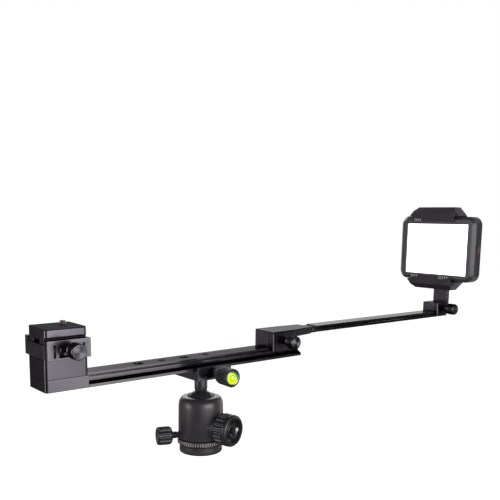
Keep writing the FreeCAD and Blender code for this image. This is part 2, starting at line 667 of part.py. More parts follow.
def make_arm(holes):
    low, top = "head_height+arm_low", "head_height+arm_top"
    block_end = "carriage_start+carriage_length"
    plan = [("carriage_start", "-carriage_half"), (block_end, "-carriage_half"),
            ("arm_end", "-bar_half-1"), ("arm_end", "carriage_half-4"), ("arm_end-4", "carriage_half-3"),
            (block_end, "carriage_half"), ("carriage_start", "carriage_half")]
    plate = prism("arm_pad", plan, "arm_top-arm_low", "Z", low)
    neck = box("arm_neck", ("neck_end-arm_end+1", "2*bar_half-2", "arm_top-arm_low-1.6"),
               ("arm_end-1", "-bar_half+1", low + "+0.6"))
    relief = box("arm_relief", ("carriage_length+1.3", "60", "carriage_top-arm_low"),
                 ("carriage_start-1", "-30", low))
    tenon_low = low + "+2.4"
    tongue_at = ("neck_end-tongue_length+0.5", "-tongue_width/2", tenon_low)
    pocket = box("arm_pocket", ("tongue_length+0.5", "tongue_width", "tongue_height"), tongue_at)
    screw_holes, screws = [], []
    for i, side in enumerate((-1, 1)):
        facing = V(0, -side, 0)
        hole_at = ("arm_end+6", "%d*(bar_half-0.9)" % side, low + "+4.4")
        screw_at = ("arm_end+6", "%d*(bar_half-1.4)" % side, low + "+4.4")
        screw_holes.append(rod("set_hole_%d" % i, "small_shank+fit", "3.4", hole_at, facing))
        screws.append(rod("set_screw_%d" % i, "small_shank", "2.8", screw_at, facing))
    whole = fuse("arm_whole", plate, neck)
    node("arm_plate", cut("arm_cut", whole, relief, pocket, *(screw_holes + holes)))
    node("bar_set_screws", group("set_screw_group", screws))
    half = [("bar_half", "bar_low"), ("bar_half", "bar_low+3.5"), ("bar_half-1.5", "bar_low+4.6"),
            ("bar_half-1.5", "bar_top-2.6"), ("bar_half", "bar_top-1.5"), ("bar_half", "bar_top")]
    bar = prism("bar_pad", mirrored_outline(half, "head_height"), "bar_end-neck_end", "X", "neck_end")
    tongue = box("bar_tongue", ("tongue_length", "tongue_width", "tongue_height"), tongue_at)
    node("extension_bar", fuse("bar_whole", bar, tongue))


def make_bar_clamp():
    low, top = "head_height+barclamp_low", "head_height+barclamp_top"
    over = "head_height+bar_top+slip"
    hook = [("bar_half+slip", over), ("bar_half+slip", "head_height+bar_top-1.7"),
            ("bar_half-1.1", "head_height+bar_top-2.9"), ("bar_half-1.1", "head_height+bar_low+4.9"),
            ("bar_half+slip", "head_height+bar_low+3.9"), ("bar_half+slip", low), ("barclamp_half", low),
            ("barclamp_half", top)]
    split = "barclamp_split"
    body = prism("barclamp_pad", [("-" + split, top), ("-" + split, over)] + hook,
                 "barclamp_length", "X", "barclamp_start")
    jaw_edge = split + "+split_gap"
    jaw_points = [("-(%s)" % y, z) for y, z in [(jaw_edge, top), (jaw_edge, over)] + hook]
    jaw = prism("barjaw_pad", jaw_points, "barclamp_length", "X", "barclamp_start")
    middle = "barclamp_start+barclamp_length/2-1"
    level = "head_height+bar_knob_level"
    bores, slots, pins = jaw_fittings("bar", middle, "barclamp_half", level, "15", split, "8",
                                      level + "+5", "thin_pin")
    holes, screws = [], []
    for i, side in enumerate((-1, 1)):
        at = ("barclamp_start+barclamp_length+spine_thick", "%d*6+4" % side, "head_height+37.8")
        holes.append(rod("stem_hole_%d" % i, "small_shank+fit", "10.2", at, V(-1, 0, 0)))
        shank = rod("stem_shank_%d" % i, "small_shank", "9.5", at, V(-1, 0, 0))
        head = rod("stem_head_%d" % i, "small_head", "1.6", at, X_AXIS)
        screws.append(fuse("stem_screw_%d" % i, shank, head))
    node("bar_clamp_body", cut("barclamp_cut", body, *(bores + holes)))
    node("bar_clamp_jaw", cut("barjaw_cut", jaw, *slots))
    node("bar_clamp_pins", group("bar_pin_group", pins))
    thumb_knob("bar", middle, "barclamp_half", level, "15")
    node("stem_screws", group("stem_screw_group", screws))
    return holes


# ---------------------------------------------------------------- light and its holder
def holder_clip(name, edge, sign, leg):
    """One clip: lip over the bezel, sloped shoulder, and a leg down or up behind the light."""
    def level(up):
        return "%s+(%d*(%s))" % (edge, sign, up)

    lip_front = "light_front-3"
    back = "light_front+light_depth"
    spine_x = "barclamp_start+barclamp_length"
    profile = [(lip_front, level("-clip_lip")), (lip_front, level("clip_crease")),
               (lip_front + "+9", level("clip_rise")), (spine_x, level("clip_rise")),
               (spine_x, level("-" + leg)), (back + "+slip", level("-" + leg)),
               (back + "+slip", level("slip")), ("light_front-slip", level("slip")),
               ("light_front-slip", level("-clip_lip"))]
    bar = prism(name + "_pad", profile, "clip_width", "Y", "-clip_width/2+clip_shift")
    leg_low = edge + ("-%s-1" % leg if sign > 0 else "+4")
    cuts = []
    for side, word in ((-1, "near"), (1, "far")):
        outside = "clip_shift+%d*(clip_width/2+1)" % side
        end = "clip_shift+%d*(clip_width/2)" % side
        inside = "clip_shift+%d*(clip_width/2-clip_cut)" % side
        wedge = [(outside, level("clip_rise+1")), (inside, level("clip_rise+1")),
                 (inside, level("clip_rise")), (end, level("1.5")), (outside, level("1.5"))]
        cuts.append(prism("%s_%s_wedge" % (name, word), wedge, "40", "X", lip_front + "-5"))
        cuts.append(box("%s_%s_trim" % (name, word), ("2.95", "7", "30"),
                        (lip_front + "-0.2", end + "-%d*3.5-3.5" % side, edge + "-15")))
        leg_cut = "clip_width/2+1-spine_half+%d*clip_shift" % side
        leg_start = "spine_half" if side > 0 else outside
        cuts.append(box("%s_%s_leg_trim" % (name, word), ("4", leg_cut, leg + "-3"),
                        (back, leg_start, leg_low)))
    return cut(name + "_cut", bar, *cuts)


def make_holder(holes):
    low = "head_height+light_low"
    high = low + "+light_height"
    spine_x = "barclamp_start+barclamp_length"
    spine_low = "bar_top+2*slip"
    spine = box("spine_box", ("spine_thick", "2*spine_half", "spine_end-(%s)" % spine_low),
                (spine_x, "-spine_half", "head_height+" + spine_low))
    guide_level = high + "-51"
    guide_slots, guides, clip_holes, springs = [], [], [], []
    for i, side in enumerate((-1, 1)):
        y = "%d*9" % side
        guide_slots.append(box("guide_slot_%d" % i, ("spine_thick+2", "2*small_shank+0.2", "32"),
                               (spine_x + "-1", y + "-small_shank-0.1", high + "-55")))
        shank = rod("guide_shank_%d" % i, "small_shank", "spine_thick+0.4",
                    (spine_x + "-0.1", y, guide_level), X_AXIS)
        head = rod("guide_head_%d" % i, "small_head", "1.4",
                   (spine_x + "+spine_thick+0.3", y, guide_level), X_AXIS)
        guides.append(fuse("guide_%d" % i, shank, head))
        clip_holes.append(rod("clip_hole_%d" % i, "small_shank+fit", "4",
                              ("light_front+light_depth", y, guide_level), X_AXIS))
        springs.append(rod("clip_spring_%d" % i, "2.2", "22",
                           (spine_x + "+spine_thick+3.6", y, high + "-76.5")))
    node("holder_spine", cut("spine_cut", spine, *(holes + guide_slots)))
    node("clip_guide_screws", group("guide_group", guides))
    node("clip_springs", group("spring_group", springs))
    node("lower_clip", holder_clip("lower_clip", low, -1, "20"))
    node("upper_clip", cut("upper_clip_drilled", holder_clip("upper_clip", high, 1, "62"), *clip_holes))
    cover_x = spine_x + "+spine_thick"
    cover = box("cover_box", ("cover_depth", "2*spine_half+8", "cover_height"),
                (cover_x, "-spine_half-4", high + "-80"))
    cover_round = rounded("cover_round", cover, 3.0, lambda e: parallel(e, X_AXIS))
    hollow = box("cover_hollow", ("cover_depth-cover_wall+0.1", "2*(spine_half+4-cover_wall)",
                                  "cover_height-2*cover_wall"),
                 (cover_x + "-0.1", "-spine_half-4+cover_wall", high + "-80+cover_wall"))
    node("spine_cover", cut("cover_cut", cover_round, hollow))


def light_block(name, width, height, depth, x, corner):
    """A block across the light with rounded corners seen from the front."""
    block = box(name + "_box", (depth, width, height),
                (x, "light_shift-(%s)/2" % width, "head_height+light_low+(light_height-(%s))/2" % height))
    return rounded(name + "_round", block, corner, lambda e: parallel(e, X_AXIS))


def make_light():
    corner = SIZES["light_corner"]
    wall = SIZES["wall"]
    shell = light_block("shell", "light_width", "light_height", "light_depth-bezel_depth",
                        "light_front+bezel_depth", corner)
    inside = light_block("shell_inside", "light_width-2*wall", "light_height-2*wall",
                         "light_depth-bezel_depth", "light_front+bezel_depth-wall", corner - wall)
    button_y = "light_shift-light_width/2"
    button_z = "head_height+light_low+light_height/2"
    button_x = "light_front+13"
    button_hole = box("button_hole", ("button_width+2*slip", "4", "button_length+2*slip"),
                      (button_x + "-button_width/2-slip", button_y + "-1",
                       button_z + "-button_length/2-slip"))
    node("light_shell", cut("shell_cut", shell, inside, button_hole))
    node("light_button", fuse("button_whole",
                              box("button_cap", ("button_width", "wall+button_proud+0.1", "button_length"),
                                  (button_x + "-button_width/2", button_y + "-button_proud",
                                   button_z + "-button_length/2")),
                              box("button_skirt", ("6", "0.8", "11"),
                                  (button_x + "-3", button_y + "+wall+0.9", button_z + "-5.5")),
                              box("button_post", ("2", "2.4", "4"),
                                  (button_x + "-1", button_y + "+1.2", button_z + "-2"))))
    ring = light_block("bezel", "light_width", "light_height", "bezel_depth", "light_front", corner)
    doc.recompute()
    front_x = SIZES["light_front"] + 0.01
    bevel = doc.addObject("Part::Chamfer", "bezel_bevel")
    bevel.Base = ring
    bevel.Edges = [(i + 1, 4.6, 4.6) for i, edge in enumerate(ring.Shape.Edges)
                   if edge.BoundBox.XMax < front_x]
    window = box("bezel_window", ("20", "window_width", "window_height"),
                 ("light_front-5", "light_shift-1-window_width/2", "head_height+window_low"))
    rebate = box("bezel_rebate", ("bezel_depth", "window_width+6", "window_height+6"),
                 ("light_front+2.2", "light_shift-1-window_width/2-3", "head_height+window_low-3"))
    node("light_bezel", cut("bezel_cut", bevel, window, rebate))
    node("light_diffuser", box("diffuser_box", ("2", "window_width+5.6", "window_height+5.6"),
                               ("light_front+2.3", "light_shift-1-window_width/2-2.8",
                                "head_height+window_low-2.8")))
    board_size = ("board_thick", "window_width+2", "window_height+2")
    board_at = ("light_front+8", "light_shift-1-(window_width+2)/2", "head_height+window_low-1")
    node("led_board", box("board_box", board_size, board_at))
    node("light_battery", box("battery_box", ("battery_depth", "battery_width", "battery_height"),
                              ("light_front+11", "light_shift-35", "head_height+light_low+21")))
    posts = []
    for i, (sy, sz) in enumerate(((-1, -1), (-1, 1), (1, -1), (1, 1))):
        at = ("light_front+light_depth-wall", "light_shift+%d*(light_width/2-7)" % sy,
              "head_height+light_low+light_height/2+%d*(light_height/2-7)" % sz)
        posts.append(rod("case_screw_%d" % i, "1.4", "10", at, V(-1, 0, 0)))
    node("case_screws", group("case_screw_group", posts))


make_head()
make_housing()
make_locks()
make_ball()
make_head_clamp()
make_rail()
make_quick_release(make_riser())
make_camera_plate()
make_arm(make_carriage())
make_holder(make_bar_clamp())
make_light()
doc.recompute()

# ---------------------------------------------------------------- checks and export
for obj in doc.Objects:
    bad = [flag for flag in ("Invalid", "Error") if flag in obj.State]
    if bad:
        raise RuntimeError("%s is %s" % (obj.Name, bad))
for name, obj in nodes.items():
    if obj.Shape.isNull() or not obj.Shape.isValid():
        raise RuntimeError("%s has no valid shape" % name)

os.makedirs("parts", exist_ok=True)
for name, obj in nodes.items():
    obj.Shape.exportStep("parts/%s.step" % name)
    print("%-18s solids %2d volume %9.1f mm3" % (name, len(obj.Shape.Solids), obj.Shape.Volume))
print("nodes:", len(nodes))
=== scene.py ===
"""Looks of the camera slider: riser, rail, carriage, bar, clipped light panel and ball head."""
import json
import math

import bmesh
import bpy
from mathutils import Matrix, Vector


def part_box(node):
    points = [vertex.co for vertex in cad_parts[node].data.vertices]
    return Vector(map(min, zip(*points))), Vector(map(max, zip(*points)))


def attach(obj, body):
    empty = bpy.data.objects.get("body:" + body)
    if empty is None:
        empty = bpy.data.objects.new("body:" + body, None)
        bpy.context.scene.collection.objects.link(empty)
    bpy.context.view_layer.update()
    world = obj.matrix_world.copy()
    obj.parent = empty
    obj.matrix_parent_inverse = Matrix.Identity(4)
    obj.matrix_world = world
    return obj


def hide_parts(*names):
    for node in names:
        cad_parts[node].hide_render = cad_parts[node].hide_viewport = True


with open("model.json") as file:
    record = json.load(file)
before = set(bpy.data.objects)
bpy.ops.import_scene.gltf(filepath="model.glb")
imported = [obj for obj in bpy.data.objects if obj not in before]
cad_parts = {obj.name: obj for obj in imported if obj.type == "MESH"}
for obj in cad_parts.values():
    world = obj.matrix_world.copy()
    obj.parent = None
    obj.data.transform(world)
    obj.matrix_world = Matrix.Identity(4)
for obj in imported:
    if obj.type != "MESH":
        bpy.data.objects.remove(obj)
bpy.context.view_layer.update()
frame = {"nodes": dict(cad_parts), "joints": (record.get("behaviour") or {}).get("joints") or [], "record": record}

MM = 0.001
UP = Vector((0, 0, 1))
FRONT = Vector((0, -1, 0))
ORIGIN = Vector((0, 0, 0))
TURN = 2 * math.pi
NODES = frame["nodes"]
BODY_OF = {n: body for body, names in frame["record"]["behaviour"]["bodies"].items() for n in names}
SLOT_OF = {part["node"]: part["material_slot"] for part in frame["record"]["subparts"]}
JOINTS = {joint["name"]: joint for joint in frame["joints"]}


# ---------------------------------------------------------------- materials
def blank(name):
    """A new material with its nodes, links and shader."""
    mat = bpy.data.materials.new(name)
    mat.use_nodes = True
    return mat, mat.node_tree.nodes, mat.node_tree.links, mat.node_tree.nodes["Principled BSDF"]


def object_point(nodes, links, stretch):
    """Object coordinates, scaled by a stretch along each axis."""
    place = nodes.new("ShaderNodeTexCoord")
    mapping = nodes.new("ShaderNodeMapping")
    mapping.inputs["Scale"].default_value = stretch
    links.new(place.outputs["Object"], mapping.inputs["Vector"])
    return mapping.outputs["Vector"]


def noise(nodes, links, point, scale, detail=3.0):
    """Cloudy noise between 0 and 1, at a scale in cells per metre."""
    tex = nodes.new("ShaderNodeTexNoise")
    tex.inputs["Scale"].default_value = scale
    tex.inputs["Detail"].default_value = detail
    links.new(point, tex.inputs["Vector"])
    return tex.outputs["Fac"]


def mapped(nodes, links, value, low, high, start=0.3, end=0.7):
    """A value's range from start to end, spread from low to high."""
    ramp = nodes.new("ShaderNodeMapRange")
    ramp.inputs["From Min"].default_value = start
    ramp.inputs["From Max"].default_value = end
    ramp.inputs["To Min"].default_value = low
    ramp.inputs["To Max"].default_value = high
    links.new(value, ramp.inputs["Value"])
    return ramp.outputs["Result"]


def blended(nodes, links, factor, first, second):
    """A mix of two colours, each one a tuple or a socket."""
    mix = nodes.new("ShaderNodeMix")
    mix.data_type = "RGBA"
    for socket, colour in ((mix.inputs[6], first), (mix.inputs[7], second)):
        if isinstance(colour, tuple):
            socket.default_value = (*colour, 1)
        else:
            links.new(colour, socket)
    links.new(factor, mix.inputs[0])
    return mix.outputs[2]


def raised(nodes, links, shader, height, strength, distance):
    """Relief that follows a height value, its distance in mm."""
    bump = nodes.new("ShaderNodeBump")
    bump.inputs["Strength"].default_value = strength
    bump.inputs["Distance"].default_value = distance * MM
    links.new(height, bump.inputs["Height"])
    links.new(bump.outputs["Normal"], shader.inputs["Normal"])


def surface(name, colour, metallic=0.0, roughness=0.4, grain=2500.0, relief=0.02, patch=40.0,
            stretch=(1, 1, 1), wear=None, specular=0.5, coat=0.0, grazing=1.0):
    """A finish with patchy colour, grain in its relief and gloss, and paler worn edges."""
    mat, nodes, links, shader = blank(name)
    point = object_point(nodes, links, stretch)
    cloud = mapped(nodes, links, noise(nodes, links, point, patch, 4.0), 0.0, 1.0)
    darker = tuple(c * 0.82 for c in colour)
    lighter = tuple(min(1.0, c * 1.14) for c in colour)
    tone = blended(nodes, links, cloud, darker, lighter)
    if wear:
        pointiness = nodes.new("ShaderNodeNewGeometry").outputs["Pointiness"]
        edge = mapped(nodes, links, pointiness, 0.0, 1.0, 0.515, 0.60)
        tone = blended(nodes, links, edge, tone, wear)
    links.new(tone, shader.inputs["Base Color"])
    speck = noise(nodes, links, point, grain, 2.0)
    dullness = mapped(nodes, links, speck, roughness * 0.85, roughness * 1.15)
    links.new(dullness, shader.inputs["Roughness"])
    raised(nodes, links, shader, speck, 0.5, relief)
    shader.inputs["Metallic"].default_value = metallic
    shader.inputs["Specular IOR Level"].default_value = specular
    shader.inputs["Specular Tint"].default_value = (grazing, grazing, grazing, 1)
    shader.inputs["Coat Weight"].default_value = coat
    return mat


def lit_panel(name):
    """The lit diffuser: white, glowing a little unevenly, over a fine prismatic pattern."""
    mat, nodes, links, shader = blank(name)
    point = object_point(nodes, links, (1, 1, 1))
    wave = nodes.new("ShaderNodeTexWave")
    wave.inputs["Scale"].default_value = 420.0
    wave.bands_direction = "Y"
    links.new(point, wave.inputs["Vector"])
    glow = mapped(nodes, links, noise(nodes, links, point, 12.0), 1.9, 2.2)
    links.new(glow, shader.inputs["Emission Strength"])
    shader.inputs["Emission Color"].default_value = (1, 1, 1, 1)
    shader.inputs["Base Color"].default_value = (0.9, 0.9, 0.9, 1)
    shader.inputs["Roughness"].default_value = 0.35
    raised(nodes, links, shader, wave.outputs["Fac"], 0.3, 0.05)
    return mat


def level_fluid(name):
    """Yellow-green liquid seen through a clear lens, in patchy tone between a darker, greener yellow and a paler
    one, with a faint painted glow though the level is no lamp.
    """
    mat, nodes, links, shader = blank(name)
    point = object_point(nodes, links, (1, 1, 1))
    cloud = mapped(nodes, links, noise(nodes, links, point, 160.0), 0.0, 1.0)
    tone = blended(nodes, links, cloud, (0.36, 0.62, 0.0), (0.52, 0.68, 0.0))
    links.new(tone, shader.inputs["Base Color"])
    links.new(tone, shader.inputs["Emission Color"])
    # painted glow: the liquid gives off a little light of its own colour
    shader.inputs["Emission Strength"].default_value = 0.30
    shader.inputs["Roughness"].default_value = 0.12
    shader.inputs["Specular IOR Level"].default_value = 0.2
    return mat


BLACK = {
    "anodised": surface("anodised", (0.112, 0.105, 0.122), 1.0, 0.24, 2600, 0.012, 30,
                        wear=(0.22, 0.21, 0.23), grazing=0.35),
    # painted shade: a darker copy of the anodised finish, so that the blocks read as less lit than the plate
    "block": surface("anodised_shaded_copy", (0.084, 0.079, 0.092), 1.0, 0.24, 2600, 0.012, 30,
                     wear=(0.20, 0.19, 0.21), grazing=0.35),
    "extruded": surface("extruded", (0.090, 0.084, 0.092), 1.0, 0.20, 1800, 0.006, 40, (0.04, 1, 1),
                        wear=(0.24, 0.22, 0.24), grazing=0.30),
    "bar": surface("bar_extrusion", (0.125, 0.118, 0.124), 1.0, 0.22, 1800, 0.005, 40, (0.04, 1, 1),
                   wear=(0.20, 0.19, 0.21), grazing=0.6),
    "turned": surface("turned", (0.085, 0.081, 0.092), 1.0, 0.26, 3000, 0.010, 60,
                      wear=(0.22, 0.21, 0.23), grazing=0.3),
    "paint": surface("head_paint", (0.026, 0.023, 0.027), 0.0, 0.34, 3200, 0.03, 25, specular=0.6),
    "gloss": surface("hub_paint", (0.010, 0.010, 0.012), 0.0, 0.24, 2600, 0.015, 30, specular=0.7),
    "ball": surface("ball_black", (0.025, 0.024, 0.027), 0.2, 0.30, 2000, 0.01, 30),
    "rubber": surface("grip_rubber", (0.014, 0.013, 0.016), 0.0, 0.34, 1800, 0.04, 60,
                      specular=0.6),
    "pad": surface("pad_rubber", (0.020, 0.018, 0.022), 0.0, 0.70, 900, 0.08, 60, specular=0.02),
    "case": surface("case_plastic", (0.018, 0.016, 0.021), 0.0, 0.38, 2200, 0.05, 30,
                    specular=0.35),
    "bezel": surface("bezel_plastic", (0.028, 0.026, 0.032), 0.0, 0.32, 2200, 0.03, 30,
                     specular=1.0),
}
METAL = {
    "steel": surface("steel", (0.70, 0.68, 0.66), 1.0, 0.22, 2200, 0.01, 120),
    "dark_steel": surface("dark_steel", (0.09, 0.09, 0.10), 1.0, 0.32, 2200, 0.01, 120,
                          grazing=0.4),
    "satin_steel": surface("satin_steel", (0.52, 0.50, 0.46), 0.4, 0.34, 2200, 0.01, 120),
    "screw": surface("camera_screw_steel", (0.34, 0.29, 0.26), 0.9, 0.30, 2200, 0.01, 120,
                     grazing=0.6),
}
MATERIAL_OF_SLOT = {
    "anodised_rail": BLACK["anodised"], "knob_metal": BLACK["turned"], "head_paint": BLACK["paint"],
    "ball_black": BLACK["ball"], "scale_ring": BLACK["paint"], "grip_rubber": BLACK["rubber"],
    "pad_rubber": BLACK["pad"], "steel": METAL["steel"], "dark_steel": METAL["dark_steel"],
    "seat_plastic": surface("seat_nylon", (0.72, 0.70, 0.64), 0.0, 0.5, 900, 0.03, 60),
    "case_plastic": BLACK["case"], "diffuser_white": lit_panel("lit_diffuser"),
    "button_red": surface("button_plastic", (0.085, 0.040, 0.028), 0.0, 0.35, 1500, 0.02, 200),
    "level_liquid": level_fluid("level_liquid"),
    "circuit_board": surface("solder_mask", (0.03, 0.16, 0.06), 0.0, 0.35, 900, 0.03, 300),
    "cell_wrap": surface("cell_wrap", (0.06, 0.11, 0.32), 0.0, 0.3, 700, 0.02, 80, coat=0.4),
}
MARK_PAINT = surface("mark_paint", (0.27, 0.24, 0.20), 0.0, 0.5, 2500, 0.01, 400)
# painted highlight: pale grey on the clip ribs, standing in for the light they catch
PAINTED_RIB_HIGHLIGHT = surface("rib_painted_highlight", (0.30, 0.30, 0.31), 0.0, 0.5, 2500, 0.01, 400)
BUBBLE = surface("bubble", (0.85, 0.95, 0.35), 0.0, 0.08, 300, 0.001, 200, coat=0.8)
SHADE = surface("level_shade", (0.03, 0.22, 0.18), 0.0, 0.12, 300, 0.001, 200, coat=0.8)


# ---------------------------------------------------------------- mesh helpers
def joint_line(name):
    """A point on a joint's axis and the axis's direction."""
    joint = JOINTS[name]
    return Vector(joint["pos_m"]), Vector(joint["axis"]).normalized()


def add(name, mesh):
    obj = bpy.data.objects.new(name, mesh)
    bpy.context.scene.collection.objects.link(obj)
    return obj


def smooth(obj, width=0.0, segments=2, angle=28.0):
    """Shade a piece smooth, and round its sharp edges where a width in mm is given."""
    for face in obj.data.polygons:
        face.use_smooth = True
    if width:
        bevel = obj.modifiers.new("round", "BEVEL")
        bevel.width = width * MM
        bevel.segments = segments
        bevel.limit_method = "ANGLE"
        bevel.angle_limit = math.radians(angle)
        bevel.harden_normals = True
        bevel.use_clamp_overlap = False
    return obj


def from_bmesh(name, bm):
    bmesh.ops.recalc_face_normals(bm, faces=bm.faces)
    mesh = bpy.data.meshes.new(name)
    bm.to_mesh(mesh)
    bm.free()
    return add(name, mesh)


def dress(piece, node, mat=None, replace=True):
    """Give a piece its finish and let it ride with the body of a CAD node."""
    piece.data.materials.clear()
    piece.data.materials.append(mat or MATERIAL_OF_SLOT[SLOT_OF[node]])
    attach(piece, BODY_OF[node])
    if replace:
        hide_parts(node)
    return piece


def refined(node, width, mat=None, segments=2):
    """A cleaned copy of a CAD node with its edges rounded to a width in mm."""
    source = NODES[node].data
    bm = bmesh.new()
    verts = [bm.verts.new(v.co) for v in source.vertices]
    for face in source.polygons:
        try:
            bm.faces.new([verts[i] for i in face.vertices])
        except ValueError:
            continue
    bmesh.ops.remove_doubles(bm, verts=bm.verts, dist=0.002 * MM)
    bmesh.ops.dissolve_limit(bm, angle_limit=math.radians(0.5), verts=bm.verts, edges=bm.edges)
    piece = smooth(from_bmesh(node + "_finished", bm), width, segments)
    return dress(piece, node, mat)


def turned(name, profile, at, direction, steps=96, shape=None, closed=False):
    """A solid turned from (radius, height) points in mm, with a ripple from shape where given."""
    bm = bmesh.new()
    tilt = direction.to_track_quat("Z", "Y").to_matrix()
    rings = []
    for radius, height in profile:
        if radius == 0:
            rings.append([bm.verts.new(at + direction * height * MM)])
            continue
        ring = []
        for i in range(steps):
            angle = TURN * i / steps
            r = shape(radius, height, angle) if shape else radius
            local = Vector((r * math.cos(angle), r * math.sin(angle), height)) * MM
            ring.append(bm.verts.new(at + tilt @ local))
        rings.append(ring)
    pairs = list(zip(rings, rings[1:]))
    if closed:
        pairs.append((rings[-1], rings[0]))
    for low, high in pairs:
        for i in range(steps):
            j = (i + 1) % steps
            if len(low) == 1:
                bm.faces.new((low[0], high[i], high[j]))
            elif len(high) == 1:
                bm.faces.new((low[i], low[j], high[0]))
            else:
                bm.faces.new((low[i], low[j], high[j], high[i]))
    return from_bmesh(name, bm)


def ribs(count, depth, low, high, run=1.2, sharp=2.5):
    """A ripple of ribs between two heights, fading out over a run at each end."""
    def shape(radius, height, angle):
        inside = min(height - low, high - height)
        fade = max(0.0, min(1.0, inside / run + 0.001))
        wave = 0.5 + 0.5 * math.tanh(sharp * math.cos(count * angle)) / math.tanh(sharp)
        return radius - depth * fade * (1 - wave)
    return shape


def stacked(low, high, count):
    """Evenly spaced heights between two heights."""
    return [low + (high - low) * i / count for i in range(count + 1)]


def block(name, low, high, width=0.0, segments=2):
    """A box between two corners with rounded edges, in metres."""
    bm = bmesh.new()
    bmesh.ops.create_cube(bm, size=1.0)
    for v in bm.verts:
        v.co = Vector([low[i] + (v.co[i] + 0.5) * (high[i] - low[i]) for i in range(3)])
    return smooth(from_bmesh(name, bm), width, segments, 40)


def joined(name, pieces):
    """One piece from several, with their modifiers applied."""
    graph = bpy.context.evaluated_depsgraph_get()
    bm = bmesh.new()
    for piece in pieces:
        mesh = bpy.data.meshes.new_from_object(piece.evaluated_get(graph))
        mesh.transform(piece.matrix_world)
        bm.from_mesh(mesh)
        bpy.data.meshes.remove(mesh)
        bpy.data.objects.remove(piece)
    mesh = bpy.data.meshes.new(name)
    bm.to_mesh(mesh)
    bm.free()
    return smooth(add(name, mesh))


# ---------------------------------------------------------------- rail, riser, carriage and bar
def make_metalwork():
    refined("main_rail", 0.25, BLACK["extruded"])
    refined("extension_bar", 0.3, BLACK["bar"])
    # these blocks take the darker anodised copy, painted shade over the same aluminium
    for node in ("base_block", "riser_block", "head_clamp_body", "head_clamp_jaw"):
        refined(node, 0.4, BLACK["block"])
    for node in ("qr_clamp_body", "qr_clamp_jaw", "camera_plate", "carriage_body", "arm_plate",
                 "bar_clamp_body"):
        refined(node, 0.4)
    refined("carriage_jaw", 0.9, segments=3)
    refined("bar_clamp_jaw", 0.9, segments=3)
    refined("holder_spine", 0.35)
    refined("rail_end_stop", 0.3)
    refined("plate_pad", 0.3)
    refined("bar_set_screws", 0.2, METAL["screw"])
    for node in ("arm_screws", "stem_screws"):
        refined(node, 0.2, METAL["dark_steel"])
    for node in ("base_screws", "riser_screws", "clip_guide_screws"):
        refined(node, 0.2)


def make_camera_screw():
    """The plate's screw: a flat head under the plate and a threaded end above it."""
    low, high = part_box("camera_screw")
    axis, _ = joint_line("camera_screw_turn")
    reach = (high.z - low.z) / MM
    shank, crest, root, pitch = 3.175, 3.15, 2.62, 0.95
    profile = [(0, 0.0), (6.6, 0.0), (6.9, 0.3), (6.9, 2.3), (6.6, 2.6), (shank, 2.6),
               (shank, reach - 3.3)]
    for turn in range(3):
        at = reach - 3.1 + turn * pitch
        profile += [(root, at), (root, at + 0.2), (crest, at + 0.5), (crest, at + 0.6)]
    profile += [(2.6, reach), (0, reach)]
    screw = turned("camera_screw_finished", profile, Vector((axis.x, axis.y, low.z)), UP, 64)
    dress(smooth(screw), "camera_screw", METAL["screw"])


def make_window_painted_shade():
    """Painted shade in the window of the riser clamp's jaw: dark sheets where the window shows only shadow, open
    around its screw and washer.
    """
    low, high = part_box("qr_clamp_jaw")
    middle = (low.x + high.x) / 2
    near, far = low.y + 2.15 * MM, low.y + 2.45 * MM
    window, opening = 10.2, 5.0
    sill, lintel = 2.4, 14.5
    groove, groove_half = 15.2, 0.8
    # Every strip below is painted shade, a thin dark sheet standing in for the shadow inside the window and its
    # side grooves.
    strips = []
    for name, x_low, x_high, z_low, z_high in (
            ("left", -window, -opening, sill, lintel), ("right", opening, window, sill, lintel),
            ("low", -opening, opening, sill, 4.0), ("high", -opening, opening, 14.0, lintel)):
        strips.append(block("floor_" + name, (middle + x_low * MM, near, low.z + z_low * MM),
                            (middle + x_high * MM, far, low.z + z_high * MM)))
    for side in (-1, 1):
        at = middle + side * groove * MM
        strips.append(block("groove_painted_shade",
                            (at - groove_half * MM, low.y + 1.3 * MM, low.z + sill * MM),
                            (at + groove_half * MM, low.y + 1.55 * MM, low.z + lintel * MM)))
    dress(joined("qr_window_painted_shade", strips), "qr_clamp_jaw", BLACK["gloss"], replace=False)


def knurl(count, depth, low, high):
    """A fine even ripple between two heights."""
    def shape(radius, height, angle):
        if not low < height < high:
            return radius
        return radius - depth * (0.5 - 0.5 * math.cos(count * angle))
    return shape


def make_thumb_knobs():
    """Three turned knobs: stepped neck, fine straight knurl, and a face cut with fine rings."""
    head_length, neck, rim = 12.0, 3.8, 8.2
    rings, ring_step = 6, 1.15
    for prefix in ("qr", "carriage", "bar"):
        node = prefix + "_knob"
        low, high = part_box(node)
        middle = (low + high) / 2
        reach = (high.y - low.y) / MM
        at = Vector((middle.x, high.y, middle.z))
        head = reach - head_length
        profile = [(2.6, 0.0), (neck, 0.0), (neck, head - 4.4), (5.0, head - 4.0),
                   (5.0, head - 2.8), (neck, head - 2.4), (neck, head), (7.4, head),
                   (8.15, head + 0.7), (8.15, head + 1.4), (7.75, head + 1.7),
                   (7.75, head + 2.3), (rim, head + 2.6)]
        profile += [(rim, z) for z in stacked(head + 2.8, reach - 1.6, 6)]
        profile += [(rim, reach - 1.4), (7.5, reach - 0.35), (7.2, reach - 0.1)]
        for ring in range(rings, 0, -1):
            radius = ring * ring_step
            profile += [(radius + 0.16, reach), (radius, reach - 0.22), (radius - 0.16, reach)]
        profile.append((0, reach))
        knob = turned(node + "_finished", profile, at, FRONT, 160,
                      knurl(52, 0.22, head + 2.7, reach - 1.5))
        dress(smooth(knob), node)
        refined(prefix + "_screw", 0.15, METAL["dark_steel"])


